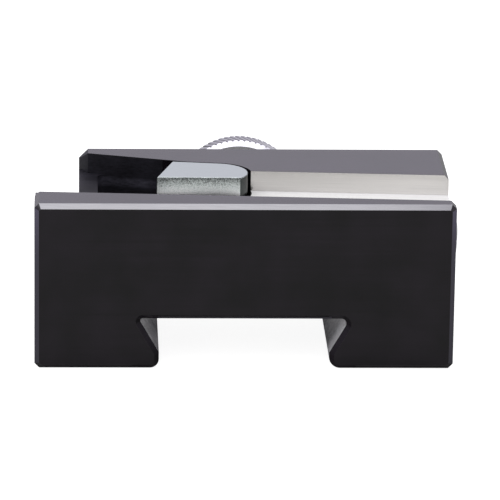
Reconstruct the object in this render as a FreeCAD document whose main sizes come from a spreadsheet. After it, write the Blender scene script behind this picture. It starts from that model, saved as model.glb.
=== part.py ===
import FreeCAD, Part
import os
import Sketcher
from FreeCAD import Placement, Rotation, Vector
from math import cos, radians, sin

# Parting tool holder for a quick-change lathe tool post, in millimetres.
# It lies on the two legs of its dovetail with the blade channel up. +X runs along the block, +Y is
# up when the holder hangs on its post, and +Z points away from the post. The origin is the middle
# of the dovetail's mouth at the end that faces down in use.

SIZES = {
    # Block
    "body_length": 89.0,
    "body_height": 36.3,
    "body_depth": 44.5,
    "edge_chamfer": 1.0,
    # Dovetail cut in the underside
    "dovetail_mouth": 36.2,
    "dovetail_depth": 11.0,
    "dovetail_lip": 3.45,
    "dovetail_angle": 60.0,
    "root_radius_left": 0.5,
    "root_radius_right": 1.1,
    "foot_radius_left": 1.9,
    "foot_radius_right": 2.4,
    # Blade channel across the top, tilted in plan
    "channel_width": 19.35,
    "channel_depth": 4.5,
    "channel_tilt": 3.84,
    "rail_width": 9.9,
    # Cut-back at the left end, for clearance beside the work
    "cutback_length": 9.35,
    "cutback_start": 24.5,
    "cutback_chamfer": 2.0,
    # Clamp pocket and its wedge; the clamp's own axis leans from X by the taper
    "clamp_place_x": -5.6,
    "clamp_place_y": 25.25,
    "clamp_taper": 8.1,
    "wedge_radius": 6.83,
    "wedge_near_offset": 4.27,
    "wedge_near_angle": 7.4,
    "wedge_length": 17.2,
    "wedge_end_angle": 7.7,
    "wedge_thickness": 18.0,
    "wedge_edge": 0.15,
    "wedge_clearance": 0.3,
    "pocket_end_gap": 0.95,
    "pocket_length": 35.0,
    "pocket_corner": 1.8,
    "flare_start": 7.2,
    "flare_angle": 8.7,
    "entry_start": 29.4,
    "entry_angle": 50.0,
    # Clamp screw
    "screw_drop": 12.5,
    "screw_radius": 3.0,
    "screw_fit": 0.05,
    "screw_hole_gap": 0.2,
    "screw_head_radius": 5.25,
    "screw_head_height": 3.3,
    "screw_head_sunk": 1.7,
    "screw_head_gap": 0.5,
    "screw_flat_radius": 2.75,
    "screw_key_width": 4.0,
    "screw_key_depth": 2.1,
    "screw_tip_chamfer": 0.7,
    # Height stud and its nuts
    "stud_place_x": 0.58,
    "stud_height": 18.8,
    "stud_radius": 5.0,
    "stud_seat_depth": 10.0,
    "stud_reach": 37.0,
    "stud_chamfer": 0.8,
    "thread_fit": 0.05,
    "nut_gap": 17.7,
    "nut_radius": 14.0,
    "nut_thickness": 6.0,
    "nut_chamfer": 1.1,
    "knurl_teeth": 72,
    "knurl_depth": 0.3,
    "lock_nut_width": 17.0,
    "lock_nut_thickness": 6.0,
    "lock_nut_gap": 0.3,
    "lock_nut_chamfer": 0.6,
    "bore_chamfer": 0.6,
}

OVERRUN = 2.0  # how far a cutting sketch runs past the metal that it cuts
LEAN_AXIS = Vector(0, 0, -1)  # a positive lean turns a sketch's X axis towards -Y

doc = FreeCAD.newDocument("parting_tool_holder")
sheet = doc.addObject("Spreadsheet::Sheet", "Sizes")
for row, (alias, number) in enumerate(SIZES.items(), start=1):
    sheet.set(f"A{row}", alias)
    sheet.set(f"B{row}", str(number))
    sheet.setAlias(f"B{row}", alias)
doc.recompute()


def size(alias):
    """The expression that reads one cell."""
    return f"Sizes.{alias}"


def value(expression):
    """What an expression comes to with the sheet's present numbers."""
    return float(sheet.evalExpression(expression))


def add_body(label):
    """A new body, named after the piece that it holds."""
    body = doc.addObject("PartDesign::Body", label)
    body.Label = label
    return body


def add_sketch(body, name, role, height="0", clamp=False):
    """A sketch on one of the body's own planes, raised by height, in the clamp's frame if asked."""
    plane = next(item for item in body.Origin.OriginFeatures if item.Role == role)
    sketch = body.newObject("Sketcher::SketchObject", name)
    sketch.AttachmentSupport = (plane, [""])
    sketch.MapMode = "FlatFace"
    lean = value(size("clamp_taper")) if clamp else 0.0
    sketch.AttachmentOffset = Placement(Vector(0, 0, value(height)), Rotation(LEAN_AXIS, lean))
    sketch.setExpression("AttachmentOffset.Base.z", height)
    if clamp:
        sketch.setExpression("AttachmentOffset.Base.x", size("clamp_place_x"))
        sketch.setExpression("AttachmentOffset.Base.y", size("clamp_place_y"))
        sketch.setExpression("AttachmentOffset.Rotation.Angle", size("clamp_taper"))
    return sketch


def hold_point(sketch, index, end, point):
    """Hold a point of the geometry by its two distances from the sketch's origin."""
    for kind, expression in zip(("DistanceX", "DistanceY"), point):
        held = sketch.addConstraint(
            Sketcher.Constraint(kind, -1, 1, index, end, value(expression))
        )
        sketch.setExpression(f"Constraints[{held}]", expression)


def add_outline(sketch, points):
    """A closed outline of straight lines through the points, each a pair of expressions."""
    corners = [Vector(value(across), value(along), 0) for across, along in points]
    count = len(corners)
    first = sketch.GeometryCount
    for index in range(count):
        line = Part.LineSegment(corners[index], corners[(index + 1) % count])
        sketch.addGeometry(line, False)
    for index in range(count):
        after = first + (index + 1) % count
        sketch.addConstraint(Sketcher.Constraint("Coincident", first + index, 2, after, 1))
    for index, point in enumerate(points):
        hold_point(sketch, first + index, 1, point)


def add_circle(sketch, centre, radius):
    """A circle whose centre is a pair of expressions and whose radius is one."""
    middle = Vector(value(centre[0]), value(centre[1]), 0)
    index = sketch.addGeometry(Part.Circle(middle, Vector(0, 0, 1), value(radius)), False)
    hold_point(sketch, index, 3, centre)
    held = sketch.addConstraint(Sketcher.Constraint("Radius", index, value(radius)))
    sketch.setExpression(f"Constraints[{held}]", radius)


def pad(body, name, sketch, length, reverse=False):
    """Add the sketch's outline, drawn out by length."""
    feature = body.newObject("PartDesign::Pad", name)
    feature.Profile = sketch
    feature.Length = value(length)
    feature.setExpression("Length", length)
    feature.Reversed = reverse
    doc.recompute()
    return feature


def pocket(body, name, sketch, length=None, reverse=False):
    """Cut the sketch's outline away, to a depth or through all."""
    before = body.Shape.Volume
    feature = body.newObject("PartDesign::Pocket", name)
    feature.Profile = sketch
    feature.Reversed = reverse
    if length is None:
        feature.Type = "ThroughAll"
    else:
        feature.Length = value(length)
        feature.setExpression("Length", length)
    doc.recompute()
    check_cut(feature, before)
    return feature


def turn(body, name, sketch, axis, cut=False):
    """Turn the sketch's outline about one of its own axes, to add or to cut."""
    before = body.Shape.Volume if cut else 0.0
    kind = "PartDesign::Groove" if cut else "PartDesign::Revolution"
    feature = body.newObject(kind, name)
    feature.Profile = sketch
    feature.ReferenceAxis = (sketch, [axis])
    feature.Angle = 360.0
    doc.recompute()
    if cut:
        check_cut(feature, before)
    return feature


def check_cut(feature, before):
    """A cut has to leave less metal than there was."""
    if not feature.Shape.Volume < before:
        raise RuntimeError(f"{feature.Label} cuts nothing")


def edges_at(shape, **place):
    """The names of the edges that lie wholly at the given coordinates."""
    return [
        f"Edge{number}"
        for number, edge in enumerate(shape.Edges, start=1)
        if all(
            abs(getattr(vertex.Point, axis) - level) < 1e-4
            for vertex in edge.Vertexes
            for axis, level in place.items()
        )
    ]


def dress(body, kind, name, amount, *places):
    """Chamfer or fillet the body's edges that lie at any of the places."""
    base = body.Tip
    names = [edge for place in places for edge in edges_at(base.Shape, **place)]
    if not names:
        raise RuntimeError(f"{name} finds no edge")
    feature = body.newObject(f"PartDesign::{kind}", name)
    feature.Base = (base, names)
    field = "Size" if kind == "Chamfer" else "Radius"
    setattr(feature, field, value(amount))
    feature.setExpression(field, amount)
    doc.recompute()
    return feature


def lay_along_clamp(body, drop):
    """Place a body in the clamp's frame, its own X axis along the clamp's axis."""
    lean = Rotation(LEAN_AXIS, value(size("clamp_taper")))
    body.Placement = Placement(Vector(0, 0, 0), lean)
    body.setExpression("Placement.Base.x", size("clamp_place_x"))
    body.setExpression("Placement.Base.y", size("clamp_place_y"))
    body.setExpression("Placement.Base.z", f"{size('body_height')} - {drop}")
    body.setExpression("Placement.Rotation.Angle", size("clamp_taper"))


def lay_along_stud(body, place):
    """Place a turned body on the stud's axis, its own +Z pointing along +Y."""
    body.Placement = Placement(Vector(0, 0, 0), Rotation(Vector(1, 0, 0), -90))
    body.setExpression("Placement.Base.x", size("stud_place_x"))
    body.setExpression("Placement.Base.y", place)
    body.setExpression("Placement.Base.z", size("stud_height"))


# Values that several pieces share
HALF_LENGTH = "Sizes.body_length / 2"
LEFT_END = "-Sizes.body_length / 2"
CUT_END = "Sizes.cutback_length - Sizes.body_length / 2"
MOUTH_HALF = "Sizes.dovetail_mouth / 2"
FLANK_RUN = "(Sizes.dovetail_depth - Sizes.dovetail_lip) / tan(Sizes.dovetail_angle)"
WALL_OFFSET = "(Sizes.wedge_radius + Sizes.wedge_clearance)"
POCKET_RADIUS = "(Sizes.wedge_radius + Sizes.pocket_end_gap)"
POCKET_SHIFT = "(Sizes.wedge_clearance - Sizes.pocket_end_gap)"
SCREW_END = "((Sizes.body_length / 2 - Sizes.clamp_place_x) / cos(Sizes.clamp_taper))"
HEAD_SEAT = f"({SCREW_END} - Sizes.screw_head_sunk)"
WEDGE_LEFT = "(Sizes.wedge_radius - Sizes.wedge_length)"
NUT_PLACE = "(Sizes.body_depth + Sizes.nut_gap)"
LOCK_PLACE = f"({NUT_PLACE} + Sizes.nut_thickness + Sizes.lock_nut_gap)"


def channel_edge(place, offset):
    """How far along Y a line of the channel lies, at a place along X."""
    run = f"({place} + Sizes.body_length / 2)"
    return f"Sizes.rail_width + {offset} - {run} * tan(Sizes.channel_tilt)"


def build_block(body):
    """The block with its dovetail, and the chamfers along its two ends."""
    sketch = add_sketch(body, "block_outline", "XZ_Plane")
    wide = f"{MOUTH_HALF} + {FLANK_RUN}"
    add_outline(sketch, [
        (LEFT_END, "0"),
        (LEFT_END, size("body_height")),
        (HALF_LENGTH, size("body_height")),
        (HALF_LENGTH, "0"),
        (MOUTH_HALF, "0"),
        (MOUTH_HALF, size("dovetail_lip")),
        (wide, size("dovetail_depth")),
        (f"-({wide})", size("dovetail_depth")),
        (f"-{MOUTH_HALF}", size("dovetail_lip")),
        (f"-{MOUTH_HALF}", "0"),
    ])
    pad(body, "block", sketch, size("body_depth"), reverse=True)

    half, top = value(HALF_LENGTH), value(size("body_height"))
    mouth, root = value(MOUTH_HALF), value(wide)
    roof = value(size("dovetail_depth"))
    for side, sign in (("left", -1), ("right", 1)):
        foot, inside = {"x": sign * mouth, "z": 0}, {"x": sign * root, "z": roof}
        dress(body, "Fillet", f"foot_rounding_{side}", size(f"foot_radius_{side}"), foot)
        dress(body, "Fillet", f"root_rounding_{side}", size(f"root_radius_{side}"), inside)
        dress(
            body, "Chamfer", f"end_chamfers_{side}", size("edge_chamfer"),
            {"x": sign * half, "z": 0}, {"x": sign * half, "z": top},
        )


def cut_left_end_back(body):
    """The step at the left end, with its own larger top chamfer."""
    sketch = add_sketch(body, "cutback_outline", "XY_Plane")
    far = f"Sizes.body_depth + {OVERRUN}"
    add_outline(sketch, [
        (f"{LEFT_END} - {OVERRUN}", size("cutback_start")),
        (CUT_END, size("cutback_start")),
        (CUT_END, far),
        (f"{LEFT_END} - {OVERRUN}", far),
    ])
    pocket(body, "cutback", sketch, reverse=True)

    end, top = value(CUT_END), value(size("body_height"))
    upper, lower = {"x": end, "z": top}, {"x": end, "z": 0}
    dress(body, "Chamfer", "cutback_top_chamfer", size("cutback_chamfer"), upper)
    dress(body, "Chamfer", "cutback_base_chamfer", size("edge_chamfer"), lower)


def chamfer_faces(body):
    """The chamfers round the near and far faces, the dovetail's outline included."""
    far = value(size("body_depth"))
    dress(body, "Chamfer", "near_chamfers", size("edge_chamfer"), {"y": 0})
    dress(body, "Chamfer", "far_chamfers", size("edge_chamfer"), {"y": far})


def cut_channel(body):
    """The tilted channel that the blade lies in."""
    sketch = add_sketch(body, "channel_outline", "XY_Plane", height=size("body_height"))
    left, right = f"{LEFT_END} - {OVERRUN}", f"{HALF_LENGTH} + {OVERRUN}"
    across = "Sizes.channel_width / cos(Sizes.channel_tilt)"
    add_outline(sketch, [
        (left, channel_edge(f"({left})", "0")),
        (right, channel_edge(f"({right})", "0")),
        (right, channel_edge(f"({right})", across)),
        (left, channel_edge(f"({left})", across)),
    ])
    pocket(body, "blade_channel", sketch, size("channel_depth"))


def pocket_outline(left, near_side):
    """The pocket in the clamp's frame, from its left end, square to X, to its round end's centre."""
    flared = f"{WALL_OFFSET} + (-Sizes.flare_start - ({left})) * tan(Sizes.flare_angle)"
    square = f"{left} + ({flared} - ({near_side})) * tan(Sizes.clamp_taper)"
    return [
        (square, near_side),
        ("0", near_side),
        ("0", WALL_OFFSET),
        ("-Sizes.flare_start", WALL_OFFSET),
        (left, flared),
    ]


def clamp_place(point):
    """Where a point of the clamp's frame lies on X and Y."""
    along, across = value(point[0]), value(point[1])
    lean = radians(value(size("clamp_taper")))
    return {
        "x": value(size("clamp_place_x")) + along * cos(lean) + across * sin(lean),
        "y": value(size("clamp_place_y")) - along * sin(lean) + across * cos(lean),
    }


def cut_pocket(body):
    """The clamp's pocket: a shelf as deep as the channel that opens wide at the cut-back end, and
    the deep pocket in it."""
    shelf_left = f"-(Sizes.clamp_place_x + Sizes.body_length / 2) - {OVERRUN}"
    shelf = add_sketch(body, "shelf_outline", "XY_Plane", size("body_height"), clamp=True)
    corners = pocket_outline("-Sizes.entry_start", POCKET_SHIFT)
    opened = f"{corners[-1][1]} + (-Sizes.entry_start - ({shelf_left})) * tan(Sizes.entry_angle)"
    add_outline(shelf, [(shelf_left, POCKET_SHIFT)] + corners[1:] + [(shelf_left, opened)])
    pocket(body, "clamp_shelf", shelf, size("channel_depth"))

    pocket_depth = "Sizes.wedge_thickness + Sizes.wedge_clearance"
    pocket_left = f"{POCKET_RADIUS} - Sizes.pocket_length"
    near_side = f"{POCKET_SHIFT} - {POCKET_RADIUS}"
    deep = add_sketch(body, "pocket_outline", "XY_Plane", size("body_height"), clamp=True)
    corners = pocket_outline(pocket_left, near_side)
    add_outline(deep, corners)
    pocket(body, "clamp_pocket", deep, pocket_depth)

    round_end = add_sketch(body, "pocket_end_circle", "XY_Plane", size("body_height"), clamp=True)
    add_circle(round_end, ("0", POCKET_SHIFT), POCKET_RADIUS)
    pocket(body, "pocket_round_end", round_end, pocket_depth)
    left_corners = clamp_place(corners[0]), clamp_place(corners[-1])
    dress(body, "Fillet", "pocket_corners", size("pocket_corner"), *left_corners)


def drill_screw_hole(body):
    """The screw's clearance hole and the counterbore for its head, from the right end."""
    height = "Sizes.body_height - Sizes.screw_drop"
    sketch = add_sketch(body, "screw_hole_outline", "XY_Plane", height, clamp=True)
    hole = "Sizes.screw_radius + Sizes.screw_hole_gap"
    bore = "Sizes.screw_head_radius + Sizes.screw_head_gap"
    outside = f"{SCREW_END} + Sizes.screw_head_radius"
    add_outline(sketch, [
        ("0", "0"),
        (outside, "0"),
        (outside, bore),
        (HEAD_SEAT, bore),
        (HEAD_SEAT, hole),
        ("0", hole),
    ])
    turn(body, "screw_hole", sketch, "H_Axis", cut=True)


def drill_stud_hole(body):
    """The tapped hole for the height stud in the far face."""
    sketch = add_sketch(body, "stud_hole_circle", "XZ_Plane", height="-Sizes.body_depth")
    centre = size("stud_place_x"), size("stud_height")
    add_circle(sketch, centre, "Sizes.stud_radius + Sizes.thread_fit")
    pocket(body, "stud_hole", sketch, size("stud_seat_depth"), reverse=True)


def build_holder_body():
    body = add_body("holder_body")
    build_block(body)
    cut_left_end_back(body)
    chamfer_faces(body)
    cut_channel(body)
    cut_pocket(body)
    drill_screw_hole(body)
    drill_stud_hole(body)
    return body


def build_clamp_wedge():
    """The wedge: flat far side, round right end, near side that closes on the blade."""
    body = add_body("clamp_wedge")
    near_slope = "tan(Sizes.wedge_near_angle)"
    lean = "tan(Sizes.wedge_end_angle)"

    sketch = add_sketch(body, "wedge_outline", "XY_Plane")
    low = f"-{size('wedge_radius')}"
    add_outline(sketch, [
        (f"{WEDGE_LEFT} - 2 * Sizes.wedge_radius * {lean}", low),
        ("0", low),
        ("0", size("wedge_radius")),
        (WEDGE_LEFT, size("wedge_radius")),
    ])
    pad(body, "wedge_block", sketch, size("wedge_thickness"), reverse=True)
    circle = add_sketch(body, "wedge_end_circle", "XY_Plane")
    add_circle(circle, ("0", "0"), size("wedge_radius"))
    pad(body, "wedge_round_end", circle, size("wedge_thickness"), reverse=True)

    strip = add_sketch(body, "near_side_outline", "XY_Plane")
    left, right = "-2 * Sizes.wedge_length", "2 * Sizes.wedge_radius"
    add_outline(strip, [
        (left, f"-Sizes.wedge_near_offset + ({left}) * {near_slope}"),
        (right, f"-Sizes.wedge_near_offset + {right} * {near_slope}"),
        (right, "-3 * Sizes.wedge_radius"),
        (left, "-3 * Sizes.wedge_radius"),
    ])
    pocket(body, "near_side", strip, None)

    base = -value(size("wedge_thickness"))
    dress(body, "Chamfer", "wedge_edges", size("wedge_edge"), {"z": 0}, {"z": base})

    hole = add_sketch(body, "wedge_hole_outline", "XY_Plane", height="-Sizes.screw_drop")
    radius = "Sizes.screw_radius + Sizes.screw_fit"
    add_outline(hole, [
        ("-2 * Sizes.wedge_length", "0"),
        ("2 * Sizes.wedge_radius", "0"),
        ("2 * Sizes.wedge_radius", radius),
        ("-2 * Sizes.wedge_length", radius),
    ])
    turn(body, "wedge_hole", hole, "H_Axis", cut=True)
    lay_along_clamp(body, "0")
    return body


def build_clamp_screw():
    """The button head screw, turned about its own X axis, with a hex key socket."""
    body = add_body("clamp_screw")
    sketch = add_sketch(body, "screw_profile", "XY_Plane")
    tip = WEDGE_LEFT
    top = f"({HEAD_SEAT} + Sizes.screw_head_height)"
    add_outline(sketch, [
        (tip, "0"),
        (tip, "Sizes.screw_radius - Sizes.screw_tip_chamfer"),
        (f"{tip} + Sizes.screw_tip_chamfer", size("screw_radius")),
        (HEAD_SEAT, size("screw_radius")),
        (HEAD_SEAT, size("screw_head_radius")),
        (f"{HEAD_SEAT} + 0.3 * Sizes.screw_head_height", "0.965 * Sizes.screw_head_radius"),
        (f"{HEAD_SEAT} + 0.7 * Sizes.screw_head_height", "0.79 * Sizes.screw_head_radius"),
        (top, size("screw_flat_radius")),
        (top, "0"),
    ])
    turn(body, "screw_turned", sketch, "H_Axis")

    key = add_sketch(body, "key_hexagon", "YZ_Plane", height=top)
    reach = "Sizes.screw_key_width / sqrt(3)"
    add_outline(key, [
        (f"{reach} * cos({angle})", f"{reach} * sin({angle})") for angle in range(0, 360, 60)
    ])
    pocket(body, "key_socket", key, size("screw_key_depth"))
    lay_along_clamp(body, size("screw_drop"))
    return body


def build_height_stud():
    """The stud, turned about its own Z axis, chamfered at both ends."""
    body = add_body("height_stud")
    sketch = add_sketch(body, "stud_profile", "XZ_Plane")
    length = "(Sizes.stud_seat_depth + Sizes.stud_reach)"
    inner = "Sizes.stud_radius - Sizes.stud_chamfer"
    add_outline(sketch, [
        ("0", "0"),
        (inner, "0"),
        (size("stud_radius"), size("stud_chamfer")),
        (size("stud_radius"), f"{length} - Sizes.stud_chamfer"),
        (inner, length),
        ("0", length),
    ])
    turn(body, "stud_turned", sketch, "V_Axis")
    lay_along_stud(body, "Sizes.body_depth - Sizes.stud_seat_depth")
    return body


def nut_profile(outer, thickness, chamfer):
    """Half the section of a nut with a threaded bore, chamfered outside and in."""
    bore = "(Sizes.stud_radius + Sizes.thread_fit)"
    flare = f"{bore} + Sizes.bore_chamfer"
    return [
        (bore, size("bore_chamfer")),
        (flare, "0"),
        (f"{outer} - {chamfer}", "0"),
        (outer, chamfer),
        (outer, f"{thickness} - {chamfer}"),
        (f"{outer} - {chamfer}", thickness),
        (flare, thickness),
        (bore, f"{thickness} - Sizes.bore_chamfer"),
    ]


def build_height_nut():
    """The knurled nut, with one groove of the knurl cut and repeated round the axis."""
    body = add_body("height_nut")
    sketch = add_sketch(body, "nut_profile", "XZ_Plane")
    outer = size("nut_radius")
    add_outline(sketch, nut_profile(outer, size("nut_thickness"), size("nut_chamfer")))
    turn(body, "nut_turned", sketch, "V_Axis")

    groove = add_sketch(body, "knurl_groove_outline", "XY_Plane")
    half_pitch = "Sizes.nut_radius * tan(180 / Sizes.knurl_teeth)"
    add_outline(groove, [
        (f"{outer} - Sizes.knurl_depth", "0"),
        (outer, half_pitch),
        (f"{outer} + Sizes.knurl_depth", half_pitch),
        (f"{outer} + Sizes.knurl_depth", f"-({half_pitch})"),
        (outer, f"-({half_pitch})"),
    ])
    cut = pocket(body, "knurl_groove", groove, reverse=True)
    before = body.Shape.Volume
    pattern = body.newObject("PartDesign::PolarPattern", "knurl")
    pattern.Originals = [cut]
    pattern.Axis = (groove, ["N_Axis"])
    pattern.Angle = 360.0
    pattern.Occurrences = int(value(size("knurl_teeth")))
    pattern.setExpression("Occurrences", size("knurl_teeth"))
    body.Tip = pattern
    doc.recompute()
    check_cut(pattern, before)
    lay_along_stud(body, NUT_PLACE)
    return body


def build_lock_nut():
    """The thin hex nut, its corners chamfered by a turned profile."""
    body = add_body("lock_nut")
    sketch = add_sketch(body, "hexagon", "XY_Plane")
    reach = "Sizes.lock_nut_width / sqrt(3)"
    add_outline(sketch, [
        (f"{reach} * cos({angle})", f"{reach} * sin({angle})") for angle in range(0, 360, 60)
    ])
    add_circle(sketch, ("0", "0"), "Sizes.stud_radius + Sizes.thread_fit")
    pad(body, "hex_block", sketch, size("lock_nut_thickness"))

    thick = size("lock_nut_thickness")
    flat = "(Sizes.lock_nut_width / 2)"
    slope = "2 * Sizes.lock_nut_chamfer"
    for name, face, inward in (("near", "0", 1), ("far", thick, -1)):
        corner = add_sketch(body, f"{name}_corner_outline", "XZ_Plane")
        add_outline(corner, [
            (flat, face),
            (f"{flat} + {slope}", f"{face} + {inward} * Sizes.lock_nut_chamfer"),
            (f"{flat} + {slope}", f"{face} - {inward} * Sizes.lock_nut_chamfer"),
            (flat, f"{face} - {inward} * Sizes.lock_nut_chamfer"),
        ])
        turn(body, f"{name}_corners", corner, "V_Axis", cut=True)
    lay_along_stud(body, LOCK_PLACE)
    return body


def check_document():
    """No object may have failed, and no piece may be empty or invalid."""
    failed = [item.Label for item in doc.Objects if {"Invalid", "Error"} & set(item.State)]
    if failed:
        raise RuntimeError("failed: " + ", ".join(failed))
    for piece in pieces:
        if piece.Shape.isNull() or not piece.Shape.isValid():
            raise RuntimeError(f"{piece.Label} is empty or invalid")


pieces = [
    build_holder_body(),
    build_clamp_wedge(),
    build_clamp_screw(),
    build_height_stud(),
    build_height_nut(),
    build_lock_nut(),
]
doc.recompute()
check_document()

os.makedirs("parts", exist_ok=True)
for piece in pieces:
    piece.Shape.exportStep(f"parts/{piece.Label}.step")
    print(f"{piece.Label}: {piece.Shape.Volume:.1f} mm3, {len(piece.Shape.Solids)} solid")
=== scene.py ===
import bpy
import math
from bpy.props import FloatProperty, FloatVectorProperty, IntProperty, PointerProperty
from mathutils import Matrix, Vector


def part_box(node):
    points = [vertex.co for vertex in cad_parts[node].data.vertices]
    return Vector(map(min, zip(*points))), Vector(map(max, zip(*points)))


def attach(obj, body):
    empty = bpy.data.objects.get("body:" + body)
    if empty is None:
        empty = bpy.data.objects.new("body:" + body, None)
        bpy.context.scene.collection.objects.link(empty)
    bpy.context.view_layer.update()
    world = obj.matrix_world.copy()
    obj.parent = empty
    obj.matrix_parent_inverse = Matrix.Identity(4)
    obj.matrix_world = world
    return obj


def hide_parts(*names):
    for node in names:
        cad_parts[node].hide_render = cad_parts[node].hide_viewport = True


bl_info = {
    "name": "Parting tool holder",
    "version": (1, 0, 0),
    "blender": (4, 5, 0),
    "location": "3D View > Sidebar > Tool Holder",
    "description": "Finishes the metal of a parting tool holder on its packed solids and sets its stage",
    "category": "Object",
}

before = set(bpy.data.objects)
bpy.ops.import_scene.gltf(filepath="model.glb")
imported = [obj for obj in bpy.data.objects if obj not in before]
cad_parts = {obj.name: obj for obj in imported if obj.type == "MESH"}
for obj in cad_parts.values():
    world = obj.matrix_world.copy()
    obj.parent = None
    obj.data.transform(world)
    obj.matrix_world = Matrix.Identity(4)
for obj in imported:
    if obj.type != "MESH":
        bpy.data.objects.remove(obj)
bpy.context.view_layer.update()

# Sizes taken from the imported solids
NUT_LOW, NUT_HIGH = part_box("height_nut")
STUD_LOW, STUD_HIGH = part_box("height_stud")
STUD_AXIS = (STUD_LOW + STUD_HIGH) / 2
STUD_RADIUS = (STUD_HIGH.x - STUD_LOW.x) / 2
NUT_RADIUS = (NUT_HIGH.z - NUT_LOW.z) / 2
BODY_LOW, BODY_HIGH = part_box("holder_body")

# Sizes of the holder that its surfaces follow, in metres and radians
EDGE_CHAMFER = 0.001
RAIL_WIDTH = 0.0099
CHANNEL_WIDTH = 0.0194
CHANNEL_DEPTH = 0.0045
CHANNEL_TILT = math.radians(3.84)
CLAMP_PLACE = Vector((-0.0056, 0.02525, 0.0238))
CLAMP_TAPER = math.radians(8.1)
ROUND_START = 0.0056
SCREW_SEAT = 0.0489
SCREW_TIP = -0.0104
HAIR = 0.00004
TOUCH = 0.000001
CAMERA_TARGET = Vector((0, 0, 0.018))

# The dovetail's outline with its chamfers, and the clamp pocket with its shelf, as boxes
OUTLINE_SIDE = 0.0238
OUTLINE_TOP = 0.0122
ROOF_SIDE = 0.0185
ROOF_LEVEL = 0.0110
RIM_TOP = 0.01152
FOOT_RIM = 0.0002
POCKET_LOW = Vector((-0.0351, 0.0246, 0.018))
POCKET_HIGH = Vector((-0.0170, 0.0434, BODY_HIGH.z - HAIR))
# Where the painted highlight band lies along the pocket's far wall, and how soft it is
HIGHLIGHT_LEVEL = 0.0304
HIGHLIGHT_REACH = 0.0014
HIGHLIGHT_CORE = 0.0004

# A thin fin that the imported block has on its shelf, left between two of its pockets
FIN_LOW = Vector((-0.0360, 0.0284, BODY_HIGH.z - CHANNEL_DEPTH - 0.000002))
FIN_HIGH = Vector((-0.0332, 0.0290, BODY_HIGH.z + 0.0001))


class HolderFinish(bpy.types.PropertyGroup):
    black_colour: FloatVectorProperty(
        name="Black oxide",
        description="Colour of the blackened steel",
        subtype="COLOR", size=3, min=0.0, max=1.0, default=(0.0061, 0.0042, 0.0069),
    )
    black_roughness: FloatProperty(
        name="Black roughness",
        description="Roughness of the blackened steel",
        min=0.0, max=1.0, default=0.22, subtype="FACTOR",
    )
    brush_height: FloatProperty(
        name="Brush line height",
        description="How deep the grinding lines in the steel look",
        min=0.0, max=0.001, default=0.000008, unit="LENGTH",
    )
    # A rougher black for the pocket, also painted lighter than the outer black to lift the shade inside
    # the deep pocket
    pocket_colour: FloatVectorProperty(
        name="Pocket",
        description="Colour of the blackened steel inside the clamp's pocket",
        subtype="COLOR", size=3, min=0.0, max=1.0, default=(0.0125, 0.0120, 0.0160),
    )
    stud_colour: FloatVectorProperty(
        name="Stud",
        description="Colour of the height stud",
        subtype="COLOR", size=3, min=0.0, max=1.0, default=(0.075, 0.075, 0.080),
    )
    # Painted light: far lighter than the black oxide, so that the walls inside the shaded dovetail
    # render lit
    dovetail_painted_light_colour: FloatVectorProperty(
        name="Dovetail walls",
        description="Colour of the dovetail's worn inner walls",
        subtype="COLOR", size=3, min=0.0, max=1.0, default=(0.56, 0.55, 0.58),
    )
    bare_colour: FloatVectorProperty(
        name="Bare steel",
        description="Colour of the channel where its ground steel is bare",
        subtype="COLOR", size=3, min=0.0, max=1.0, default=(0.745, 0.73, 0.70),
    )
    # Its full lightness is used only at a grazing view, as a painted reflection
    floor_colour: FloatVectorProperty(
        name="Bare floor",
        description="Colour of the channel's bright floor",
        subtype="COLOR", size=3, min=0.0, max=1.0, default=(1.0, 0.995, 0.985),
    )
    end_colour: FloatVectorProperty(
        name="Grey chamfer",
        description="Colour of the upright chamfers at the ends of the near face",
        subtype="COLOR", size=3, min=0.0, max=1.0, default=(0.10, 0.095, 0.118),
    )
    chamfer_colour: FloatVectorProperty(
        name="Bright chamfer",
        description="Colour of the near top chamfer",
        subtype="COLOR", size=3, min=0.0, max=1.0, default=(0.272, 0.272, 0.275),
    )


class ClampFinish(bpy.types.PropertyGroup):
    ground_colour: FloatVectorProperty(
        name="Ground steel",
        description="Colour of the ground, bright wedge",
        subtype="COLOR", size=3, min=0.0, max=1.0, default=(0.485, 0.535, 0.512),
    )
    ground_roughness: FloatProperty(
        name="Ground roughness",
        description="Roughness of the ground wedge",
        min=0.0, max=1.0, default=0.34, subtype="FACTOR",
    )


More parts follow.
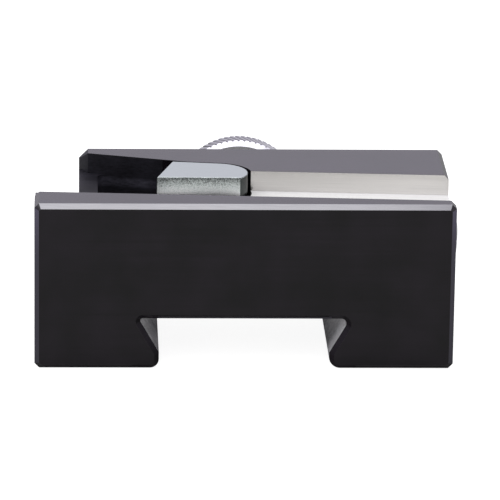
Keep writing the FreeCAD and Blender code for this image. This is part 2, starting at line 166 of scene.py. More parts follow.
class FastenerSizes(bpy.types.PropertyGroup):
    zinc_colour: FloatVectorProperty(
        name="Zinc",
        description="Colour of the plated nuts and screw",
        subtype="COLOR", size=3, min=0.0, max=1.0, default=(0.68, 0.68, 0.70),
    )
    zinc_roughness: FloatProperty(
        name="Zinc roughness",
        description="Roughness of the plated nuts and screw",
        min=0.0, max=1.0, default=0.28, subtype="FACTOR",
    )
    knurl_teeth: IntProperty(
        name="Knurl teeth", description="Slanted teeth round the height nut",
        min=24, max=120, default=68,
    )
    knurl_depth: FloatProperty(
        name="Knurl depth", description="Depth of the grooves between the teeth",
        min=0.0, max=0.001, default=0.0003, unit="LENGTH",
    )
    knurl_twist: FloatProperty(
        name="Knurl twist", description="How far one tooth turns across the nut's rim",
        default=math.radians(9.0), subtype="ANGLE",
    )
    nut_chamfer: FloatProperty(
        name="Nut chamfer", description="Bevel at the two edges of the rim",
        min=0.0001, max=0.003, default=0.0011, unit="LENGTH",
    )
    thread_pitch: FloatProperty(
        name="Thread pitch", description="Pitch of the height stud's thread",
        min=0.0005, max=0.003, default=0.0015, unit="LENGTH",
    )
    screw_pitch: FloatProperty(
        name="Screw pitch", description="Pitch of the clamp screw's thread",
        min=0.0005, max=0.002, default=0.001, unit="LENGTH",
    )
    screw_radius: FloatProperty(
        name="Screw radius", description="Outer radius of the clamp screw's thread",
        min=0.001, max=0.006, default=0.003, unit="LENGTH",
    )
    head_radius: FloatProperty(
        name="Head radius", description="Radius of the clamp screw's round head",
        min=0.003, max=0.01, default=0.00525, unit="LENGTH",
    )
    head_height: FloatProperty(
        name="Head height", description="Height of the clamp screw's round head",
        min=0.001, max=0.006, default=0.0033, unit="LENGTH",
    )
    key_width: FloatProperty(
        name="Key width", description="Width across the flats of the screw's socket",
        min=0.001, max=0.008, default=0.004, unit="LENGTH",
    )
    key_depth: FloatProperty(
        name="Key depth", description="Depth of the screw's socket",
        min=0.0005, max=0.003, default=0.0021, unit="LENGTH",
    )


class StageSizes(bpy.types.PropertyGroup):
    camera_lens: FloatProperty(
        name="Camera lens",
        description="Focal length of the camera in millimetres",
        min=10.0, max=1000.0, default=319.2,
    )
    camera_distance: FloatProperty(
        name="Camera distance",
        description="Distance of the camera from the middle of the holder's near face",
        min=0.1, max=10.0, default=0.9365, unit="LENGTH",
    )
    camera_elevation: FloatProperty(
        name="Camera elevation",
        description="Angle at which the camera looks down",
        default=math.radians(17.5), subtype="ANGLE",
    )
    camera_turn: FloatProperty(
        name="Camera turn",
        description="Angle by which the camera looks from the left",
        default=math.radians(2.255), subtype="ANGLE",
    )
    camera_roll: FloatProperty(
        name="Camera roll",
        description="Angle by which the camera is tipped on its own axis",
        default=math.radians(0.816), subtype="ANGLE",
    )
    shift_x: FloatProperty(
        name="Shift across", description="Sideways lens shift", default=0.0097,
    )
    shift_y: FloatProperty(
        name="Shift up", description="Upward lens shift", default=0.0768,
    )
    lamp_size: FloatProperty(
        name="Lamp size", description="Side of the square lamp above the holder",
        min=0.1, max=5.0, default=2.0, unit="LENGTH",
    )
    lamp_power: FloatProperty(
        name="Lamp power", description="Power of the lamp in watts", min=0.0, default=14.0,
    )
    surround_strength: FloatProperty(
        name="Surround", description="Strength of the light that comes evenly from all sides",
        min=0.0, default=0.45,
    )


def deselect():
    """Leave nothing selected."""
    bpy.ops.object.select_all(action="DESELECT")


# Modelling helpers. A turned piece is drawn along Y and moved to its own axis afterwards.

def add_ring(name, sides, centre, radius):
    """A circle of edges square to Y, left selected in edit mode."""
    deselect()
    bpy.ops.mesh.primitive_circle_add(
        vertices=sides, radius=radius, location=centre, rotation=(math.radians(90), 0, 0),
    )
    piece = bpy.context.object
    piece.name = name
    bpy.ops.object.transform_apply(location=True, rotation=True, scale=True)
    bpy.ops.object.mode_set(mode="EDIT")
    bpy.ops.mesh.select_all(action="SELECT")
    return piece


def draw_out(axis, profile):
    """Extrude the selected ring through the (radius, place along Y) points of a profile."""
    radius, place = profile[0]
    for next_radius, next_place in profile[1:]:
        bpy.ops.mesh.extrude_edges_move(
            TRANSFORM_OT_translate={"value": (0, next_place - place, 0)},
        )
        factor = next_radius / radius
        bpy.ops.transform.resize(
            value=(factor, 1, factor), center_override=(axis.x, next_place, axis.z),
        )
        radius, place = next_radius, next_place


def select_vertices(piece, wanted):
    """Select the vertices whose place fulfils a test, leaving the piece in edit mode."""
    bpy.ops.object.mode_set(mode="EDIT")
    bpy.ops.mesh.select_mode(type="VERT")
    bpy.ops.mesh.select_all(action="DESELECT")
    bpy.ops.object.mode_set(mode="OBJECT")
    count = 0
    for vertex in piece.data.vertices:
        vertex.select = wanted(vertex.co)
        count += vertex.select
    bpy.ops.object.mode_set(mode="EDIT")
    if not count:
        raise RuntimeError(f"{piece.name}: no vertex is there")


def apply_modifier(piece, kind, **settings):
    """Add a modifier to the piece, with its settings, and apply it."""
    bpy.context.view_layer.objects.active = piece
    modifier = piece.modifiers.new(kind.lower(), kind)
    for key, given in settings.items():
        setattr(modifier, key, given)
    bpy.ops.object.modifier_apply(modifier=modifier.name)


def close_mesh(piece):
    """Merge doubled vertices, turn the faces outward and smooth the shallow edges."""
    bpy.ops.object.mode_set(mode="EDIT")
    bpy.ops.mesh.select_all(action="SELECT")
    bpy.ops.mesh.remove_doubles(threshold=0.000001)
    bpy.ops.mesh.normals_make_consistent(inside=False)
    bpy.ops.object.mode_set(mode="OBJECT")
    deselect()
    piece.select_set(True)
    bpy.context.view_layer.objects.active = piece
    bpy.ops.object.shade_smooth_by_angle(angle=math.radians(32))


def join(piece, others):
    """Join other objects into the piece."""
    deselect()
    for other in others:
        other.select_set(True)
    piece.select_set(True)
    bpy.context.view_layer.objects.active = piece
    bpy.ops.object.join()


def add_thread(name, start, radius, pitch, length):
    """A threaded rod along Y: one tooth drawn round by a screw, cut square at both ends."""
    depth = 0.6 * pitch
    deselect()
    bpy.ops.mesh.primitive_circle_add(vertices=4, radius=pitch / 2, location=(0, 0, 0))
    rod = bpy.context.object
    rod.name = name
    select_vertices(rod, lambda co: co.x < -pitch / 4)
    bpy.ops.mesh.delete(type="VERT")
    bpy.ops.mesh.select_all(action="SELECT")
    bpy.ops.transform.resize(value=(2 * depth / pitch, 1, 1), center_override=(0, 0, 0))
    bpy.ops.transform.translate(value=(radius - depth, -1.5 * pitch, 0))
    bpy.ops.object.mode_set(mode="OBJECT")
    apply_modifier(
        rod, "SCREW", axis="Y", angle=math.radians(360), screw_offset=pitch,
        iterations=int(length / pitch) + 3, steps=40, render_steps=40,
        use_merge_vertices=True, merge_threshold=0.000001,
    )
    bpy.ops.object.mode_set(mode="EDIT")
    for place, outward in ((0, -1), (length, 1)):
        bpy.ops.mesh.select_all(action="SELECT")
        bpy.ops.mesh.bisect(
            plane_co=(0, place, 0), plane_no=(0, outward, 0), clear_outer=True, use_fill=True,
        )
    bpy.ops.object.mode_set(mode="OBJECT")
    rod.location = start
    bpy.ops.object.transform_apply(location=True, rotation=True, scale=True)
    return rod


# Shader node helpers

def new_material(name):
    """An empty node material with its output, as (material, nodes, links)."""
    material = bpy.data.materials.new(name)
    material.use_nodes = True
    nodes = material.node_tree.nodes
    nodes.clear()
    return material, nodes, material.node_tree.links


def math_node(nodes, links, operation, first, second=0.5, clamp=False):
    """A Math node on two inputs, each a socket or a number."""
    node = nodes.new("ShaderNodeMath")
    node.operation = operation
    node.use_clamp = clamp
    for socket, given in zip(node.inputs, (first, second)):
        if isinstance(given, (int, float)):
            socket.default_value = given
        else:
            links.new(given, socket)
    return node.outputs[0]


def noise(nodes, links, vector, scale, detail=4.0, roughness=0.5):
    """The factor of a Noise texture read at a vector."""
    node = nodes.new("ShaderNodeTexNoise")
    node.inputs["Scale"].default_value = scale
    node.inputs["Detail"].default_value = detail
    node.inputs["Roughness"].default_value = roughness
    links.new(vector, node.inputs["Vector"])
    return node.outputs["Fac"]


def stretched(nodes, links, vector, scale):
    """The vector scaled separately along each axis."""
    node = nodes.new("ShaderNodeMapping")
    node.inputs["Scale"].default_value = scale
    links.new(vector, node.inputs["Vector"])
    return node.outputs["Vector"]


def ramp(nodes, links, factor, stops):
    """A colour ramp over (place, colour) stops."""
    node = nodes.new("ShaderNodeValToRGB")
    stripe = node.color_ramp.elements
    while len(stripe) < len(stops):
        stripe.new(0.5)
    for element, (place, colour) in zip(stripe, stops):
        element.position = place
        element.color = (*colour, 1.0)
    links.new(factor, node.inputs["Fac"])
    return node.outputs["Color"]


def map_range(nodes, links, value, start, end, low=0.0, high=1.0, smooth=False):
    """The value carried from the range start to end into the range low to high."""
    node = nodes.new("ShaderNodeMapRange")
    if smooth:
        node.interpolation_type = "SMOOTHSTEP"
    node.inputs["From Min"].default_value = start
    node.inputs["From Max"].default_value = end
    node.inputs["To Min"].default_value = low
    node.inputs["To Max"].default_value = high
    links.new(value, node.inputs["Value"])
    return node.outputs["Result"]


def turned(nodes, links, vector, angles):
    """The vector turned round the origin."""
    node = nodes.new("ShaderNodeMapping")
    node.inputs["Rotation"].default_value = angles
    links.new(vector, node.inputs["Vector"])
    return node.outputs["Vector"]


def coordinates(nodes, links, vector):
    """The three coordinates of a vector."""
    split = nodes.new("ShaderNodeSeparateXYZ")
    links.new(vector, split.inputs["Vector"])
    return split.outputs


def clamp_coordinates(nodes, links):
    """The coordinates in the clamp's frame: along its screw, sideways and up."""
    node = nodes.new("ShaderNodeMapping")
    node.vector_type = "TEXTURE"
    node.inputs["Location"].default_value = CLAMP_PLACE
    node.inputs["Rotation"].default_value = (0, 0, -CLAMP_TAPER)
    links.new(object_vector(nodes), node.inputs["Vector"])
    return coordinates(nodes, links, node.outputs["Vector"])


def distance(nodes, links, first, second):
    """How far two coordinates lie from their axis."""
    squares = [math_node(nodes, links, "MULTIPLY", part, part) for part in (first, second)]
    return math_node(nodes, links, "SQRT", math_node(nodes, links, "ADD", *squares))


def steel_surface(nodes, links, colour, roughness, height, depth, metallic=1.0):
    """A steel surface from a colour and a roughness socket, its height socket as fine relief."""
    surface = nodes.new("ShaderNodeBsdfPrincipled")
    surface.inputs["Metallic"].default_value = metallic
    links.new(colour, surface.inputs["Base Color"])
    links.new(roughness, surface.inputs["Roughness"])
    bump = nodes.new("ShaderNodeBump")
    bump.inputs["Distance"].default_value = depth
    links.new(height, bump.inputs["Height"])
    links.new(bump.outputs["Normal"], surface.inputs["Normal"])
    return surface


def end_material(nodes, links, shader):
    """Join the last shader to the material's output."""
    output = nodes.new("ShaderNodeOutputMaterial")
    links.new(shader, output.inputs["Surface"])


def mix_shaders(nodes, links, factor, first, second):
    """The second shader over the first, where the factor is 1."""
    mix = nodes.new("ShaderNodeMixShader")
    links.new(factor, mix.inputs["Fac"])
    links.new(first, mix.inputs[1])
    links.new(second, mix.inputs[2])
    return mix.outputs["Shader"]


def object_vector(nodes):
    return nodes.new("ShaderNodeTexCoord").outputs["Object"]


def shade(colour, factor):
    return tuple(min(channel * factor, 1.0) for channel in colour)


def varied(nodes, links, factor, middle, spread):
    """A value that wanders round a middle with the factor."""
    part = math_node(nodes, links, "MULTIPLY", factor, spread)
    return math_node(nodes, links, "ADD", part, middle - spread / 2)


def black_surface(nodes, links, finish, ior=1.44, colour=None, roughness=None):
    """Blackened steel with fine lines that run along the holder."""
    place = object_vector(nodes)
    lines = noise(nodes, links, stretched(nodes, links, place, (8, 900, 900)), 3.0, 6.0, 0.7)
    broad = noise(nodes, links, place, 90.0, 3.0)
    blend = varied(nodes, links, lines, 0.5, 0.8)
    blend = math_node(nodes, links, "MULTIPLY", blend, broad)
    middle = colour or finish.black_colour
    tint = ramp(nodes, links, blend, [(0.16, shade(middle, 0.4)), (0.34, shade(middle, 1.7))])
    spread = varied(nodes, links, lines, roughness or finish.black_roughness, 0.08)
    surface = steel_surface(
        nodes, links, tint, spread, lines, finish.brush_height, metallic=0.0,
    )
    surface.inputs["IOR"].default_value = ior
    return surface.outputs["BSDF"]


def bare_surface(nodes, links, colour, roughness, depth, metallic=1.0):
    """Ground steel with brush lines along the channel."""
    along = turned(nodes, links, object_vector(nodes), (0, 0, CHANNEL_TILT))
    lines = noise(nodes, links, stretched(nodes, links, along, (15, 1200, 1200)), 3.0, 6.0, 0.7)
    tint = ramp(nodes, links, lines, [(0.3, shade(colour, 0.88)), (0.7, shade(colour, 1.08))])
    spread = varied(nodes, links, lines, roughness, 0.15)
    return steel_surface(nodes, links, tint, spread, lines, depth, metallic).outputs["BSDF"]


def both(nodes, links, masks):
    """1 where every one of the masks is 1."""
    result = masks[0]
    for mask in masks[1:]:
        result = math_node(nodes, links, "MULTIPLY", result, mask)
    return result


def within(nodes, links, across, low, high):
    """1 between two corners, where a None leaves that side open."""
    tests = []
    for value, least, most in zip(across, low, high):
        if least is not None:
            tests.append(math_node(nodes, links, "GREATER_THAN", value, least))
        if most is not None:
            tests.append(math_node(nodes, links, "LESS_THAN", value, most))
    return both(nodes, links, tests)


def mirrored(nodes, links, across):
    """The coordinates with X counted outward from the middle, so that both ends are one."""
    return math_node(nodes, links, "ABSOLUTE", across[0]), across[1], across[2]


def channel_mask(nodes, links, across):
    """1 on the blade channel's floor and walls, fading out left of the wedge."""
    x, y, z = across
    run = math_node(nodes, links, "SUBTRACT", x, BODY_LOW.x)
    fall = math_node(nodes, links, "MULTIPLY", run, math.tan(CHANNEL_TILT))
    station = math_node(nodes, links, "ADD", y, fall)
    fade = map_range(nodes, links, x, -0.024, -0.014, smooth=True)
    channel = within(
        nodes, links, (station, z),
        (RAIL_WIDTH - HAIR, BODY_HIGH.z - CHANNEL_DEPTH - HAIR),
        (RAIL_WIDTH + CHANNEL_WIDTH + HAIR, BODY_HIGH.z - HAIR),
    )
    return both(nodes, links, [fade, channel])


def floor_mask(nodes, links, across):
    """1 at the level of the blade channel's floor and below it."""
    level = BODY_HIGH.z - CHANNEL_DEPTH + HAIR
    return math_node(nodes, links, "LESS_THAN", across[2], level)


def chamfer_mask(nodes, links, across):
    """1 on the chamfer along the near top edge."""
    y, z = across[1], across[2]
    drop = math_node(nodes, links, "SUBTRACT", BODY_HIGH.z, z)
    total = math_node(nodes, links, "ADD", y, drop)
    return math_node(nodes, links, "LESS_THAN", total, EDGE_CHAMFER + HAIR / 2)


def end_mask(nodes, links, across):
    """1 on the upright chamfers at the two ends of the near face."""
    out, y, z = mirrored(nodes, links, across)
    inward = math_node(nodes, links, "SUBTRACT", BODY_HIGH.x, out)
    total = math_node(nodes, links, "ADD", y, inward)
    inset = EDGE_CHAMFER - HAIR / 2
    return within(
        nodes, links, (total, y, z), (None, HAIR / 2, inset),
        (EDGE_CHAMFER + HAIR / 2, None, BODY_HIGH.z - inset),
    )


def pocket_mask(nodes, links, across):
    """1 inside the clamp's pocket and on the shelf at the cut-back end."""
    return within(nodes, links, across, POCKET_LOW, POCKET_HIGH)


def painted_highlight_mask(nodes, links, across):
    """A soft band along the pocket's far wall, just below the shelf, where a painted highlight goes."""
    away = math_node(nodes, links, "SUBTRACT", across[2], HIGHLIGHT_LEVEL)
    away = math_node(nodes, links, "ABSOLUTE", away)
    return map_range(nodes, links, away, HIGHLIGHT_REACH, HIGHLIGHT_CORE, smooth=True)


def rim_mask(nodes, links, across):
    """1 on the inner rim of the dovetail's roof chamfer and on the near face's lowest rim."""
    places, depth = mirrored(nodes, links, across), EDGE_CHAMFER + HAIR / 2
    roof = within(
        nodes, links, places, (None, None, ROOF_LEVEL), (ROOF_SIDE, depth, RIM_TOP),
    )
    lowest = within(nodes, links, places, (None, None, None), (None, depth, FOOT_RIM))
    return math_node(nodes, links, "MAXIMUM", roof, lowest)


def dovetail_mask(nodes, links, across):
    """1 on the walls of the dovetail, behind its near chamfers, where painted light goes."""
    return within(
        nodes, links, mirrored(nodes, links, across), (None, EDGE_CHAMFER + HAIR / 2, HAIR),
        (OUTLINE_SIDE, None, OUTLINE_TOP),
    )


def outline_mask(nodes, links, across):
    """1 on the near chamfers of the dovetail's outline."""
    return within(
        nodes, links, mirrored(nodes, links, across), (None, HAIR / 2, None),
        (OUTLINE_SIDE, EDGE_CHAMFER - HAIR / 2, OUTLINE_TOP),
    )


def channel_wall(nodes, links, finish, across):
    """The channel's bare wall, darker beside the wedge than at the right end."""
    left = bare_surface(nodes, links, shade(finish.bare_colour, 0.84), 0.22, 0.000006)
    right = bare_surface(nodes, links, finish.bare_colour, 0.22, 0.000006)
    run = map_range(nodes, links, across[0], 0.007, 0.035)
    return mix_shaders(nodes, links, run, left, right)


def channel_floor(nodes, links, finish):
    """The channel's bare floor, its colour lighter when it is seen aslant than from above, as a painted
    reflection.
    """
    above = bare_surface(
        nodes, links, shade(finish.floor_colour, 0.66), 0.42, 0.000006, metallic=0.4,
    )
    aslant = bare_surface(nodes, links, finish.floor_colour, 0.3, 0.000002, metallic=0.0)
    # Painted reflection: the floor's colour itself is lighter at a grazing view
    facing = nodes.new("ShaderNodeLayerWeight")
    facing.inputs["Blend"].default_value = 0.5
    slant = map_range(nodes, links, facing.outputs["Facing"], 0.3, 0.65)
    return mix_shaders(nodes, links, slant, above, aslant)


def holder_steel(finish):
    """Blackened steel, bare in the blade channel and rubbed bare on chamfers; painted light lightens the
    dovetail's walls and the pocket, with a painted highlight band along the pocket's far wall.
    """
    material, nodes, links = new_material("holder_steel")
    across = coordinates(nodes, links, object_vector(nodes))
    black = black_surface(nodes, links, finish)
    bare = mix_shaders(
        nodes, links, floor_mask(nodes, links, across),
        channel_wall(nodes, links, finish, across), channel_floor(nodes, links, finish),
    )
    bright = bare_surface(nodes, links, finish.chamfer_colour, 0.25, 0.000002)
    grey = bare_surface(nodes, links, finish.end_colour, 0.3, 0.000002)
    # The pocket's rougher black, lightened as painted light against the pocket's shade
    rough = black_surface(nodes, links, finish, 1.22, finish.pocket_colour, 0.5)
    # Painted highlight: a copy of the pocket's black, 3.2 times lighter, laid in a soft band along the
    # far wall
    painted_light = black_surface(nodes, links, finish, 1.22, shade(finish.pocket_colour, 3.2), 0.5)
    matt = black_surface(nodes, links, finish, ior=1.25)
    # Painted light: the dovetail's walls get a much lighter copy of the black
    sheen = black_surface(nodes, links, finish, 1.6, finish.dovetail_painted_light_colour)
    rough = mix_shaders(nodes, links, painted_highlight_mask(nodes, links, across), rough, painted_light)
    mixed = mix_shaders(nodes, links, pocket_mask(nodes, links, across), black, rough)
    for mask, surface in (
        (channel_mask, bare), (end_mask, grey), (chamfer_mask, bright), (outline_mask, matt),
        (rim_mask, grey), (dovetail_mask, sheen),
    ):
        mixed = mix_shaders(nodes, links, mask(nodes, links, across), mixed, surface)
    end_material(nodes, links, mixed)
    return material


def stud_steel(finish):
    """The dark grey steel of the height stud."""
    material, nodes, links = new_material("dark_stud_steel")
    end_material(nodes, links, black_surface(nodes, links, finish, 1.6, finish.stud_colour))
    return material


def round_end_shade_mask(nodes, links):
    """1 on the side of the wedge's round end, which gets painted shade."""
    top = BODY_HIGH.z - CLAMP_PLACE.z - 0.0002
    return within(
        nodes, links, clamp_coordinates(nodes, links), (ROUND_START, None, None),
        (None, None, top),
    )


def ground_steel(finish):
    """Ground steel: a smooth top, cross-hatched sides that grow lighter towards the bottom as a painted
    reflection, and a round end darkened with painted shade.
    """
    material, nodes, links = new_material("ground_steel")
    place = object_vector(nodes)
    grains = []
    for lean in (40, -40):
        leaning = turned(nodes, links, place, (0, math.radians(lean), 0))
        streaks = stretched(nodes, links, leaning, (3200, 3200, 8000))
        grains.append(noise(nodes, links, streaks, 1.0, 2.0, 0.7))
    grain = math_node(nodes, links, "MAXIMUM", *grains)
    height = coordinates(nodes, links, place)["Z"]
    # Painted reflection: the sides grow lighter towards the bottom, standing in for the bright channel
    # floor mirrored there
    drop = map_range(
        nodes, links, height, BODY_HIGH.z, BODY_HIGH.z - CHANNEL_DEPTH, -0.06, 0.36,
    )
    lower = math_node(nodes, links, "ADD", grain, drop)
    surfaces = []
    for factor, dark, light, lightest, relief in (
        (grain, 0.97, 1.03, 1.03, 0.000001),
        (lower, 0.1, 1.35, 2.1, 0.000012),
        # Painted shade: the round end gets a dark copy of the ground steel
        (grain, 0.13, 0.18, 0.2, 0.000002),
    ):
        colour = ramp(nodes, links, factor, [
            (0.46, shade(finish.ground_colour, dark)),
            (0.64, shade(finish.ground_colour, light)),
            (0.92, shade(finish.ground_colour, lightest)),
        ])
        roughness = varied(nodes, links, grain, finish.ground_roughness, 0.1)
        surface = steel_surface(nodes, links, colour, roughness, grain, relief)
        surfaces.append(surface.outputs["BSDF"])
    top, side, end = surfaces
    below = math_node(nodes, links, "LESS_THAN", height, BODY_HIGH.z - HAIR)
    mixed = mix_shaders(nodes, links, below, top, side)
    end_material(nodes, links, mix_shaders(
        nodes, links, round_end_shade_mask(nodes, links), mixed, end,
    ))
    return material


def zinc_surface(nodes, links, finish, lightness=1.0, metallic=1.0):
    """Plated steel with a faint mottle."""
    mottle = noise(nodes, links, object_vector(nodes), 900.0, 5.0, 0.6)
    colour = ramp(nodes, links, mottle, [
        (0.3, shade(finish.zinc_colour, 0.95 * lightness)),
        (0.7, shade(finish.zinc_colour, 1.04 * lightness)),
    ])
    roughness = varied(nodes, links, mottle, finish.zinc_roughness, 0.1)
    surface = steel_surface(nodes, links, colour, roughness, mottle, 0.000001, metallic)
    return surface.outputs["BSDF"]


def zinc_plate(finish):
    """Plated steel with a faint mottle."""
    material, nodes, links = new_material("zinc_plated_steel")
    end_material(nodes, links, zinc_surface(nodes, links, finish))
    return material


def screw_zinc(finish):
    """Plated steel, dark in the screw's socket as painted shade, with a lighter, less metallic copy
    elsewhere as painted light.
    """
    material, nodes, links = new_material("screw_zinc_steel")
    along, sideways, up = clamp_coordinates(nodes, links)
    out = distance(nodes, links, sideways, up)
    light_rim = 0.0006
    # Painted shade in the socket: a near-black copy of the zinc; the head gets a lighter, less metallic
    # copy as painted light
    socket = within(
        nodes, links, (out, along), (None, SCREW_SEAT + HAIR),
        (finish.key_width / math.sqrt(3) + HAIR, SCREW_SEAT + finish.head_height - light_rim),
    )
    end_material(nodes, links, mix_shaders(
        nodes, links, socket, zinc_surface(nodes, links, finish, 1.25, 0.5),
        zinc_surface(nodes, links, finish, 0.12),
    ))
    return material


def knurled_zinc(finish):
    """Plated steel that is darker in the grooves of the height nut's rim as painted shade, with a
    lighter, less metallic copy on its flat near face as painted light.
    """
    material, nodes, links = new_material("knurled_zinc_steel")
    place = object_vector(nodes)
    x, y, z = coordinates(nodes, links, place)
    out = distance(
        nodes, links, math_node(nodes, links, "SUBTRACT", x, STUD_AXIS.x),
        math_node(nodes, links, "SUBTRACT", z, STUD_AXIS.z),
    )
    # Painted shade: the rim darkens from its ridges into the grooves between the teeth
    depth = map_range(nodes, links, out, NUT_RADIUS - finish.knurl_depth, NUT_RADIUS)
    rim = ramp(nodes, links, depth, [
        (0.0, shade(finish.zinc_colour, 0.06)),
        (1.0, shade(finish.zinc_colour, 0.58)),
    ])
    mottle = noise(nodes, links, place, 900.0, 5.0, 0.6)
    roughness = varied(nodes, links, mottle, finish.zinc_roughness, 0.1)
    surface = steel_surface(nodes, links, rim, roughness, mottle, 0.000004)
    plain = steel_surface(
        nodes, links,
        ramp(nodes, links, mottle, [
            (0.3, shade(finish.zinc_colour, 0.95)), (0.7, shade(finish.zinc_colour, 1.1)),
        ]),
        roughness, mottle, 0.000004,
    )
    near = math_node(nodes, links, "LESS_THAN", y, NUT_LOW.y + finish.nut_chamfer)
    far = math_node(nodes, links, "GREATER_THAN", y, NUT_HIGH.y - finish.nut_chamfer)
    ends = math_node(nodes, links, "MAXIMUM", near, far)
    mixed = mix_shaders(nodes, links, ends, surface.outputs["BSDF"], plain.outputs["BSDF"])
    # Painted light: the flat near face gets a lighter, less metallic copy of the zinc
    flat = math_node(nodes, links, "LESS_THAN", y, NUT_LOW.y + HAIR)
    end_material(nodes, links, mix_shaders(
        nodes, links, flat, mixed, zinc_surface(nodes, links, finish, 1.1, 0.3),
    ))
    return material


def coat(node_name, material):
    """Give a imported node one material."""
    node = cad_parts[node_name]
    node.data.materials.clear()
    node.data.materials.append(material)


def seat(piece, node_name, body, material):
    """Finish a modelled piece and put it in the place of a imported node."""
    piece.data.materials.clear()
    piece.data.materials.append(material)
    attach(piece, body)
    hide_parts(node_name)


class HOLDER_OT_block(bpy.types.Operator):
    """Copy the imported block, mill off the fin on its shelf and finish it in blackened steel"""
    bl_idname = "holder.block"
    bl_label = "Block"

    def execute(self, context):
        deselect()
        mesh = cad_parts["holder_body"].data.copy()
        piece = bpy.data.objects.new("holder_body_modelled", mesh)
        context.scene.collection.objects.link(piece)
        piece.select_set(True)
        context.view_layer.objects.active = piece
        bpy.ops.mesh.customdata_custom_splitnormals_clear()
        close_mesh(piece)
        bpy.ops.mesh.primitive_cube_add(
            size=1.0, location=(FIN_LOW + FIN_HIGH) / 2, scale=FIN_HIGH - FIN_LOW,
        )
        cutter = bpy.context.object
        apply_modifier(piece, "BOOLEAN", operation="DIFFERENCE", object=cutter, solver="EXACT")
        bpy.data.objects.remove(cutter)
        close_mesh(piece)
        material = holder_steel(context.scene.holder_finish)
        seat(piece, "holder_body", "holder", material)
        return {"FINISHED"}


class HOLDER_OT_wedge(bpy.types.Operator):
    """Finish the clamp wedge in ground steel"""
    bl_idname = "holder.wedge"
    bl_label = "Clamp wedge"

    def execute(self, context):
        coat("clamp_wedge", ground_steel(context.scene.clamp_finish))
        return {"FINISHED"}


class HOLDER_OT_screw(bpy.types.Operator):
    """Model the clamp screw: a round head with a hexagon socket on a threaded rod"""
    bl_idname = "holder.screw"
    bl_label = "Clamp screw"

    def execute(self, context):
        sizes = context.scene.fastener_sizes
        radius, height = sizes.head_radius, sizes.head_height
        flat, edge_share = 0.52 * radius, 0.12
        profile = [(0.9 * sizes.screw_radius, SCREW_SEAT), (radius, SCREW_SEAT)]
        steps = 10
        for step in range(1, steps + 1):
            angle = math.radians(90) * step / steps
            profile.append((
                flat + (radius - flat) * math.cos(angle),
                SCREW_SEAT + height * (edge_share + (1 - edge_share) * math.sin(angle)),
            ))
        piece = add_ring("clamp_screw_modelled", 48, (0, SCREW_SEAT, 0), profile[0][0])
        draw_out(Vector((0, 0, 0)), profile)
        bpy.ops.mesh.edge_face_add()
        select_vertices(piece, lambda co: co.y < SCREW_SEAT + TOUCH and co.xz.length < 0.95 * radius)
        bpy.ops.mesh.edge_face_add()
        bpy.ops.object.mode_set(mode="OBJECT")
        close_mesh(piece)

        bpy.ops.mesh.primitive_cylinder_add(
            vertices=6, radius=sizes.key_width / math.sqrt(3), depth=2 * sizes.key_depth,
            location=(0, SCREW_SEAT + height, 0), rotation=(math.radians(90), 0, 0),
        )
        key = bpy.context.object
        apply_modifier(piece, "BOOLEAN", operation="DIFFERENCE", object=key, solver="EXACT")
        bpy.data.objects.remove(key)
        rod = add_thread(
            "screw_rod", (0, SCREW_TIP, 0), sizes.screw_radius, sizes.screw_pitch,
            SCREW_SEAT - SCREW_TIP,
        )
        join(piece, [rod])
        piece.rotation_euler = (0, 0, math.radians(-90) - CLAMP_TAPER)
        piece.location = CLAMP_PLACE
        bpy.ops.object.transform_apply(location=True, rotation=True, scale=True)
        close_mesh(piece)
        seat(piece, "clamp_screw", "clamp_screw", screw_zinc(sizes))
        return {"FINISHED"}


class HOLDER_OT_stud(bpy.types.Operator):
    """Model the height stud: a threaded rod, shorter than the solid by the solid's chamfered tip"""
    bl_idname = "holder.stud"
    bl_label = "Height stud"

    def execute(self, context):
        sizes = context.scene.fastener_sizes
        tip = 0.0008
        start = (STUD_AXIS.x, STUD_LOW.y, STUD_AXIS.z)
        length = STUD_HIGH.y - STUD_LOW.y - tip
        piece = add_thread("height_stud_modelled", start, STUD_RADIUS, sizes.thread_pitch, length)
        close_mesh(piece)
        material = stud_steel(context.scene.holder_finish)
        seat(piece, "height_stud", "holder", material)
        return {"FINISHED"}


